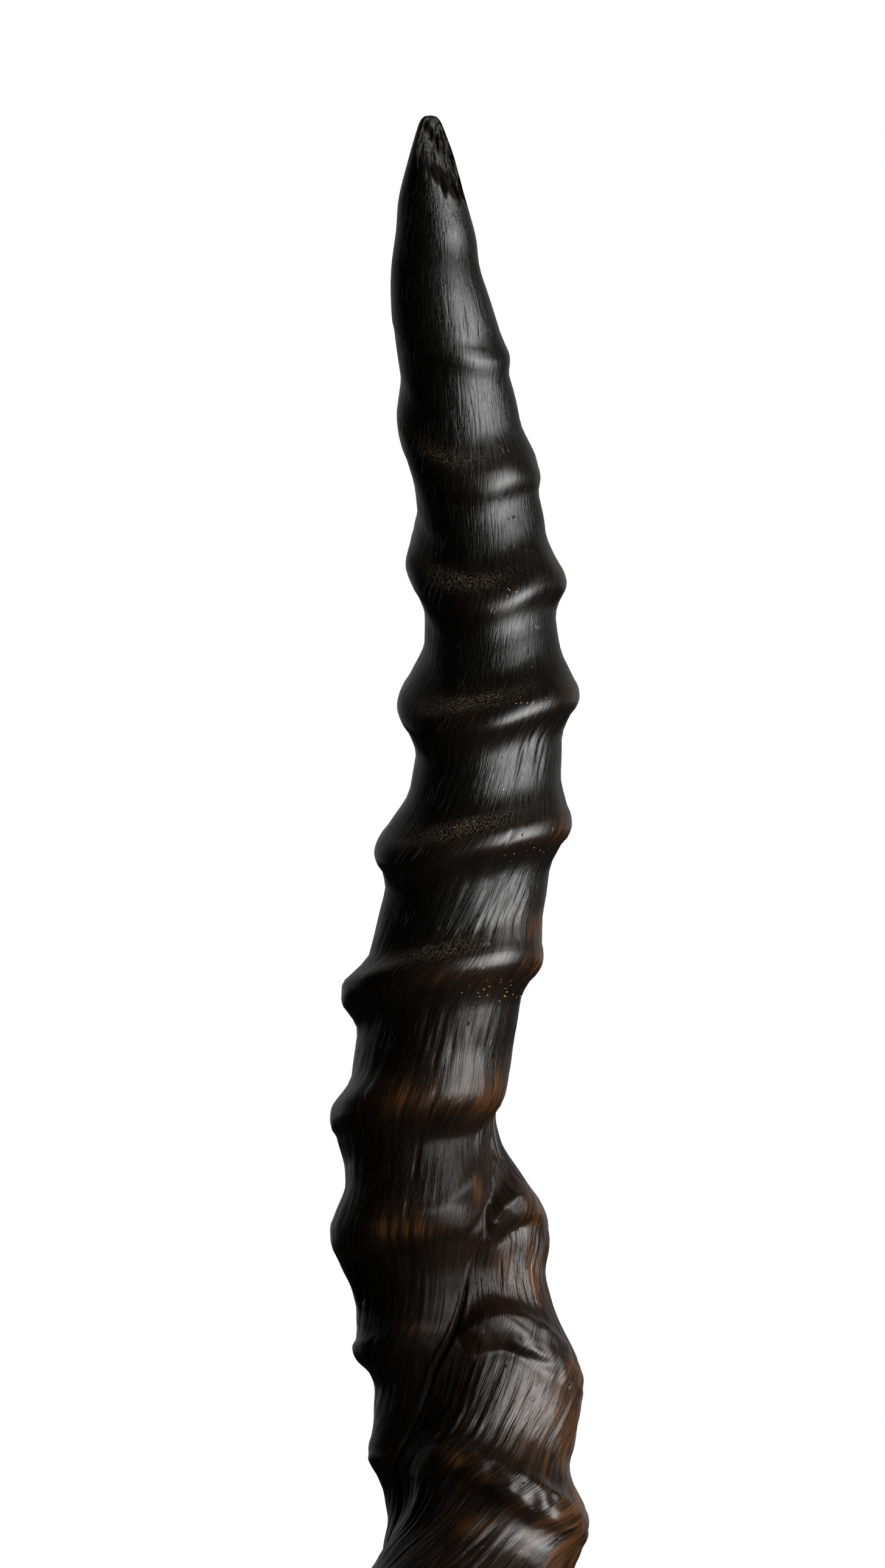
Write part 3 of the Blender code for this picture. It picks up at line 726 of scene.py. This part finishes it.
# What the material shows at each point, as places in the order of PATCHES: dull ones and brown
# ones, each with its strength, then torn ones, and those with golden specks
DULL_SPOTS = [
    (-62, 70, 0.4958, 0.0030, 0.28), (-72, 48, 0.3512, 0.0115, 0.36), (-104, 44, 0.3270, 0.0150, 0.34),
]
BROWN_SPOTS = [
    (-100, 45, 0.3594, 0.0042, 0.7), (-45, 32, 0.3600, 0.0045, 1.0), (-112, 36, 0.3398, 0.0030, 0.45),
    (0, 45, 0.3868, 0.0035, 0.8), (-12, 22, 0.3410, 0.0050, 0.9), (-30, 45, 0.3060, 0.0120, 1.0),
    (-20, 38, 0.3310, 0.0080, 0.8), (-30, 45, 0.2890, 0.0100, 1.0), (-130, 14, 0.3585, 0.0030, 0.6),
    (-60, 30, 0.3790, 0.0030, 0.4), (-50, 30, 0.3070, 0.0060, 0.5), (-105, 34, 0.3594, 0.0030, 0.8),
    (-22, 24, 0.3588, 0.0034, 0.9), (-62, 30, 0.3594, 0.0030, 0.7), (-20, 24, 0.3815, 0.0030, 0.9),
    (-92, 26, 0.3795, 0.0022, 0.45), (-22, 22, 0.4035, 0.0030, 0.7), (-90, 30, 0.4005, 0.0018, 0.25),
    (-18, 20, 0.4255, 0.0026, 0.45), (-16, 18, 0.4450, 0.0022, 0.3), (-98, 22, 0.4405, 0.0016, 0.2),
    (-98, 20, 0.4215, 0.0016, 0.2), (-112, 26, 0.3382, 0.0024, 0.8), (-56, 9, 0.3440, 0.0040, 0.7),
    (-10, 16, 0.3418, 0.0026, 1.0), (0, 24, 0.3300, 0.0080, 0.6), (-14, 22, 0.3140, 0.0040, 0.9),
    (-120, 16, 0.3215, 0.0020, 0.35), (-98, 12, 0.3004, 0.0018, 1.0), (-88, 14, 0.2975, 0.0022, 0.6),
    (-110, 14, 0.3020, 0.0016, 0.5), (-95, 22, 0.2895, 0.0030, 0.7), (-26, 18, 0.2900, 0.0040, 0.9),
    (-40, 40, 0.3020, 0.0080, 0.35), (-110, 30, 0.2840, 0.0040, 0.4),
]
ROUGH_SPOTS = [
    (-128, 18, 0.3325, 0.0016), (-150, 10, 0.3300, 0.0030), (-150, 8, 0.3165, 0.0020),
]
GOLD_SPOTS = [
    (-45, 26, 0.4000, 0.0010), (-50, 30, 0.3765, 0.0024), (-20, 14, 0.3765, 0.0012),
    (-75, 8, 0.4425, 0.0010), (-75, 6, 0.4110, 0.0012), (-60, 16, 0.4240, 0.0010),
]

# Brown on the crests: how far it reaches from their lines, and how much of it is left above a
# height. Then a brown over the whole right side, from a height down and over a length, which is
# partly the horn's own brown and partly painted light: it is laid on the side the softbox lights
BROWN_REACH = 0.0040
CREST_BROWN_ABOVE = 0.278
CREST_BROWN_LEFT = 0.45
SIDE_BROWN_AND_PAINTED_LIGHT = 0.38
SIDE_BROWN_AND_PAINTED_LIGHT_FROM = (0.40, 0.08)

# Dust in the gutters above the crests: the side where it lies, how deep a cut is full of it, how
# far over the crest it lies and its half width, the same for where it is thick, its least share,
# and the height from which up it lies
DUST_SIDE = (-118, 38)
DUST_FULL_CUT = 0.00045
DUST_BED = (0.0036, 0.0014)
DUST_THICK = (0.0030, 0.0016)
DUST_THICK_GAIN = 1.2
DUST_LEAST = 0.35
DUST_ABOVE = 0.36
GOLD_EDGE = 0.4

# How high a rope is rubbed smooth, how much of the fine fibres that takes off, how torn the chip
# is, and how strong strands are where they start to show and how much stronger where they do fully
FULL_ROPE = 0.0006
CREST_POLISH = 0.7
TORN_SHARE = 0.8
STRANDS_SHOWN = (0.8, 2.5)

# How dull: torn places, dust, the lower groove, and the walls between the upper crests, whose
# ropes are glossier
DULL_TORN = 0.26
DULL_DUST = 0.2
DULL_GROOVE = 0.1
DULL_GROOVE_BELOW = 0.36
DULL_WALL = 0.04
DULL_WALL_ABOVE = 0.352
DULL_CREST = -0.05

brown_and_lit_side = np.maximum(between(browns[above].T, to_right) * bell(under / BROWN_REACH) * (above > 0),
                   between(browns[below].T, to_right) * bell(over / BROWN_REACH))
brown_and_lit_side *= np.where(height > CREST_BROWN_ABOVE, CREST_BROWN_LEFT, 1)
for *where, strength in BROWN_SPOTS:
    brown_and_lit_side = np.maximum(brown_and_lit_side, strength * patch(angle, height, *where))
# Painted light: the right side, which the softbox lights, is made browner than the shaded left
brown_and_lit_side = np.maximum(brown_and_lit_side, SIDE_BROWN_AND_PAINTED_LIGHT * to_right * ease((SIDE_BROWN_AND_PAINTED_LIGHT_FROM[0] - height) / SIDE_BROWN_AND_PAINTED_LIGHT_FROM[1]))
rough = np.zeros(count)
for where in ROUGH_SPOTS:
    rough = np.maximum(rough, patch(angle, height, *where))
rough = np.maximum(chip, rough)
thick = np.clip(DUST_THICK_GAIN * bell((over - DUST_THICK[0]) / DUST_THICK[1]) + DUST_LEAST, 0, 1)
gutter = cuts[below, 0] / DUST_FULL_CUT * facing(angle, *DUST_SIDE) * thick
gutter *= bell((over - DUST_BED[0]) / DUST_BED[1]) * ease((height - DUST_ABOVE) / SOFT_START)
golden = np.zeros(count)
for where in GOLD_SPOTS:
    golden = np.maximum(golden, patch(angle, height, *where) > GOLD_EDGE)
crest = near_crest * between(ropes[np.where(over < under, below, above)].T, to_right) / FULL_ROPE
dullness = DULL_TORN * rough + DULL_DUST * gutter + DULL_CREST * crest
dullness += DULL_GROOVE * groove * ease((DULL_GROOVE_BELOW - height) / (2 * SOFT_START))
dullness += DULL_WALL * (1 - crest) * ease((height - DULL_WALL_ABOVE) / SOFT_START)
for *where, strength in DULL_SPOTS:
    dullness += strength * patch(angle, height, *where)


def keep_on_points(name, values):
    """Store a number or a vector for each point, for the material."""
    kind, field = ("FLOAT_VECTOR", "vector") if values.ndim == 2 else ("FLOAT", "value")
    surface.attributes.new(name, kind, "POINT").data.foreach_set(field, values.ravel())


grain = np.stack([plain_radius * np.cos(fibre), plain_radius * np.sin(fibre), height], axis=1)
keep_on_points("grain", grain)
keep_on_points("brown_and_lit_side", brown_and_lit_side)
keep_on_points("smooth", 1 - CREST_POLISH * np.clip(crest, 0, 1))
keep_on_points("dust", gutter)
keep_on_points("gold", golden)
keep_on_points("strands", np.clip((stranded - STRANDS_SHOWN[0]) / STRANDS_SHOWN[1], 0, 1))
keep_on_points("torn", TORN_SHARE * rough)
keep_on_points("dull", dullness)

horn = bpy.data.objects.new("antelope_horn", surface)
bpy.context.collection.objects.link(horn)

KERATIN = "#080706"
KERATIN_BROWN = "#34200F"
KERATIN_AMBER = "#5E3A1C"
KERATIN_TORN = "#0F0D0B"
KERATIN_IOR = 1.55
GUTTER_DUST = "#7E715C"
GOLD_DUST = "#B8964F"
FIBRE_WIDTH = 0.0003
FIBRE_LENGTH = 0.005
FIBRE_DEPTH = 0.0001
CRACK_SPACING = 0.0013
CRACK_LENGTH = 0.012
CRACK_DEPTH = 0.00017
CRACK_PATCH = 0.006
STREAK_WIDTH = 0.0010
STREAK_LENGTH = 0.012
STREAK_DEPTH = 0.0006
DUST_GRAIN = 0.00022
GOLD_SPACING = 0.0009
GOLD_GRAIN = 0.000126

# Horn keratin, oiled: nearly black and semi-gloss, with fine fibres in the sheen, brown where the
# crests are rubbed, dull where it is torn, and dusty in the gutters. Real fibres and dust grains
# are finer, and are drawn about as coarse as they need to show
keratin, tree, shader = new_material("oiled_horn_keratin")
shader.inputs["IOR"].default_value = KERATIN_IOR
coords = add_node(tree, "ShaderNodeTexCoord").outputs["Object"]
grain = add_node(tree, "ShaderNodeAttribute", attribute_name="grain").outputs["Vector"]
brown_and_lit_side, smooth, strands, dust, gold, torn, dull = (
    add_node(tree, "ShaderNodeAttribute", attribute_name=name).outputs["Fac"]
    for name in ("brown_and_lit_side", "smooth", "strands", "dust", "gold", "torn", "dull"))
along = add_node(tree, "ShaderNodeMapping", {"Vector": grain, "Scale": (1, 1, FIBRE_WIDTH / FIBRE_LENGTH)})
fibres = add_node(tree, "ShaderNodeTexNoise", {
    "Vector": along, "Scale": 1 / FIBRE_WIDTH, "Detail": 3, "Roughness": 0.6})
along = add_node(tree, "ShaderNodeMapping", {"Vector": grain, "Scale": (1, 1, CRACK_SPACING / CRACK_LENGTH)})
splits = add_node(tree, "ShaderNodeTexNoise", {"Vector": along, "Scale": 1 / CRACK_SPACING, "Detail": 2})
along = add_node(tree, "ShaderNodeMapping", {"Vector": grain, "Scale": (1, 1, STREAK_WIDTH / STREAK_LENGTH)})
streaks = add_node(tree, "ShaderNodeTexNoise", {"Vector": along, "Scale": 1 / STREAK_WIDTH, "Detail": 4})
patches = add_node(tree, "ShaderNodeTexNoise", {"Vector": coords, "Scale": 1 / CRACK_PATCH, "Detail": 1})

# Cracks run where the split pattern crosses its middle value, in some patches only
cracks = add_node(tree, "ShaderNodeMath", {0: splits, 1: 0.52, 2: 0.012}, operation="COMPARE")
patchy = add_node(tree, "ShaderNodeMapRange", {"Value": patches, "From Min": 0.48, "From Max": 0.56})
cracks = add_node(tree, "ShaderNodeMath", {0: cracks, 1: patchy}, operation="MULTIPLY")
# The cracks are darkened in the colour too, to bare keratin: painted shade in them
crack_painted_shade = add_node(tree, "ShaderNodeMath", {0: cracks, 1: 0.8}, operation="MULTIPLY")

# Rubbed brown comes in streaks, with amber in its brightest fibres
streaky = add_node(tree, "ShaderNodeMapRange", {
    "Value": streaks, "From Min": 0.35, "From Max": 0.65, "To Min": 0.35, "To Max": 1.3})
# The brown also holds the painted light laid on the lit right side, and so does the amber in it
brown_and_lit_side_share = add_node(tree, "ShaderNodeMath", {0: brown_and_lit_side, 1: streaky}, operation="MULTIPLY", use_clamp=True)
amber_and_lit_side_share = add_node(tree, "ShaderNodeMath", {0: brown_and_lit_side_share, 1: fibres}, operation="MULTIPLY")
amber_and_lit_side_share = add_node(tree, "ShaderNodeMapRange", {"Value": amber_and_lit_side_share, "From Min": 0.2, "From Max": 0.9})

# Dust lies in fine grains, and the golden specks are single ones
dusty = add_node(tree, "ShaderNodeTexNoise", {"Vector": coords, "Scale": 1 / DUST_GRAIN, "Detail": 2})
dusty = add_node(tree, "ShaderNodeMapRange", {
    "Value": dusty, "From Min": 0.50, "From Max": 0.60, "To Max": 0.95})
dust_share = add_node(tree, "ShaderNodeMath", {0: dust, 1: dusty}, operation="MULTIPLY")
specks = add_node(tree, "ShaderNodeTexVoronoi", {"Vector": coords, "Scale": 1 / GOLD_SPACING})
specks = add_node(tree, "ShaderNodeMath", operation="LESS_THAN", inputs={
    0: specks.outputs["Distance"], 1: GOLD_GRAIN / GOLD_SPACING})
gold_share = add_node(tree, "ShaderNodeMath", {0: gold, 1: specks}, operation="MULTIPLY")

# Over the brown come the amber, the painted shade in the cracks, the torn chip, the dust and the golden
# specks
colour = add_node(tree, "ShaderNodeMix", data_type="RGBA", inputs={
    "Factor": brown_and_lit_side_share, "A": linear(KERATIN), "B": linear(KERATIN_BROWN)})
for amount, tone in ((amber_and_lit_side_share, KERATIN_AMBER), (crack_painted_shade, KERATIN), (torn, KERATIN_TORN),
                     (dust_share, GUTTER_DUST), (gold_share, GOLD_DUST)):
    colour = add_node(tree, "ShaderNodeMix", data_type="RGBA", inputs={
        "Factor": amount, "A": colour, "B": linear(tone)})

# The oil's gloss varies with the fibres, and dull places reflect less and a little more softly
gloss = add_node(tree, "ShaderNodeMapRange", {
    "Value": fibres, "From Min": 0.3, "From Max": 0.7, "To Min": 0.22, "To Max": 0.42})
gloss = add_node(tree, "ShaderNodeMath", {0: dull, 1: 0.1, 2: gloss}, operation="MULTIPLY_ADD")
sheen = add_node(tree, "ShaderNodeMapRange", {
    "Value": dull, "From Min": 0.0, "From Max": 0.34, "To Min": 0.5, "To Max": 0.12})
fibre_relief = add_node(tree, "ShaderNodeBump", {
    "Distance": FIBRE_DEPTH, "Height": fibres, "Strength": smooth})
strand_relief = add_node(tree, "ShaderNodeBump", {
    "Distance": STREAK_DEPTH, "Height": streaks, "Strength": strands, "Normal": fibre_relief})
crack_relief = add_node(tree, "ShaderNodeBump", invert=True, inputs={
    "Distance": CRACK_DEPTH, "Height": cracks, "Normal": strand_relief})
drive(tree, shader, Base_Color=colour, Roughness=gloss, Specular_IOR_Level=sheen, Normal=crack_relief)
surface.materials.append(keratin)

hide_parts("horn")
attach(horn, "root")

# Floor: a wide sheet of plain pale paper, laid flat under the base. It is the stage, and isn't
# part of the object.

FLOOR_RADIUS = 4.0
FLOOR_SIDES = 96
FLOOR_PAPER = "#ECEBE9"
FLOOR_REFLECTED = "#2A2A2A"
FLOOR_ROUGHNESS = 0.9
FLOOR_GLOW = 0.55

bm = bmesh.new()
bmesh.ops.create_circle(bm, cap_ends=True, segments=FLOOR_SIDES, radius=FLOOR_RADIUS)
floor_mesh = bpy.data.meshes.new("studio_floor")
bm.to_mesh(floor_mesh)
bm.free()
floor = bpy.data.objects.new("studio_floor", floor_mesh)
bpy.context.collection.objects.link(floor)

# Matt paper, pressed smooth: pale and evenly lit where it is seen itself, and dim where the horn's
# gloss shows it, so that the undersides of the rings stay dark
paper, tree, shader = new_material("matt_paper")
shader.inputs["Roughness"].default_value = FLOOR_ROUGHNESS
rays = add_node(tree, "ShaderNodeLightPath")
paper_colour = add_node(tree, "ShaderNodeMix", data_type="RGBA", inputs={
    "Factor": rays.outputs["Is Glossy Ray"], "A": linear(FLOOR_PAPER), "B": linear(FLOOR_REFLECTED)})
lit = add_node(tree, "ShaderNodeMath", operation="MULTIPLY", inputs={
    0: rays.outputs["Is Camera Ray"], 1: FLOOR_GLOW})
shader.inputs["Emission Color"].default_value = (1, 1, 1, 1)
drive(tree, shader, Base_Color=paper_colour, Emission_Strength=lit)
floor_mesh.materials.append(paper)

# Camera: a long lens level with the upper half of the horn, so that the picture's lower edge
# cuts it off above the foot.

VIEW_HEIGHT = 0.2576
VIEW_MIDDLE = 0.4108
VIEW_SIDE = -0.0018
VIEW_DISTANCE = 3.0

lens = bpy.data.cameras.new("long_lens")
lens.sensor_width = 36
lens.lens = lens.sensor_width * VIEW_DISTANCE / VIEW_HEIGHT
lens.clip_end = 50
camera = bpy.data.objects.new("camera", lens)
camera.location = (VIEW_SIDE, -VIEW_DISTANCE, VIEW_MIDDLE)
camera.rotation_euler = (np.radians(90), 0, 0)
bpy.context.collection.objects.link(camera)
bpy.context.scene.camera = camera

# Light: one large softbox with a honeycomb grid, level with the horn and to the viewer's right,
# against a white backdrop that the horn's edges catch. The viewer's side of the room is dark.

KEY_TURN = np.radians(53)
KEY_RISE = np.radians(4)
KEY_DISTANCE = 0.85
KEY_SIZE = (1.0, 0.9)
KEY_POWER = 4.9
KEY_GRID = np.radians(75)
BACKDROP_FROM = 0.35
BACKDROP_FULL = 0.95
BACKDROP_GLOW = 0.32
ROOM_GLOW = 0.005

softbox = bpy.data.lights.new("softbox", "AREA")
softbox.shape = "RECTANGLE"
softbox.size, softbox.size_y = KEY_SIZE
softbox.energy = KEY_POWER
softbox.spread = KEY_GRID
key = bpy.data.objects.new("softbox", softbox)
away = Vector((np.sin(KEY_TURN) * np.cos(KEY_RISE), -np.cos(KEY_TURN) * np.cos(KEY_RISE),
               np.sin(KEY_RISE)))
key.location = Vector((0, 0, VIEW_MIDDLE)) + away * KEY_DISTANCE
key.visible_camera = False
key.rotation_euler = away.to_track_quat("Z", "Y").to_euler()
bpy.context.collection.objects.link(key)

world = bpy.data.worlds.new("white_backdrop")
world.use_nodes = True
tree = world.node_tree
toward = add_node(tree, "ShaderNodeTexCoord").outputs["Generated"]
backwards = add_node(tree, "ShaderNodeSeparateXYZ", {"Vector": toward}).outputs["Y"]
backdrop = add_node(tree, "ShaderNodeMapRange", interpolation_type="SMOOTHSTEP", inputs={
    "Value": backwards, "From Min": BACKDROP_FROM, "From Max": BACKDROP_FULL,
    "To Min": ROOM_GLOW, "To Max": BACKDROP_GLOW})
seen = add_node(tree, "ShaderNodeLightPath").outputs["Is Camera Ray"]
glow = add_node(tree, "ShaderNodeMix", {"Factor": seen, "A": backdrop, "B": 1.0})
tree.nodes["Background"].inputs["Color"].default_value = (1, 1, 1, 1)
drive(tree, tree.nodes["Background"], Strength=glow)
bpy.context.scene.world = world
bpy.context.scene.view_settings.view_transform = "Standard"
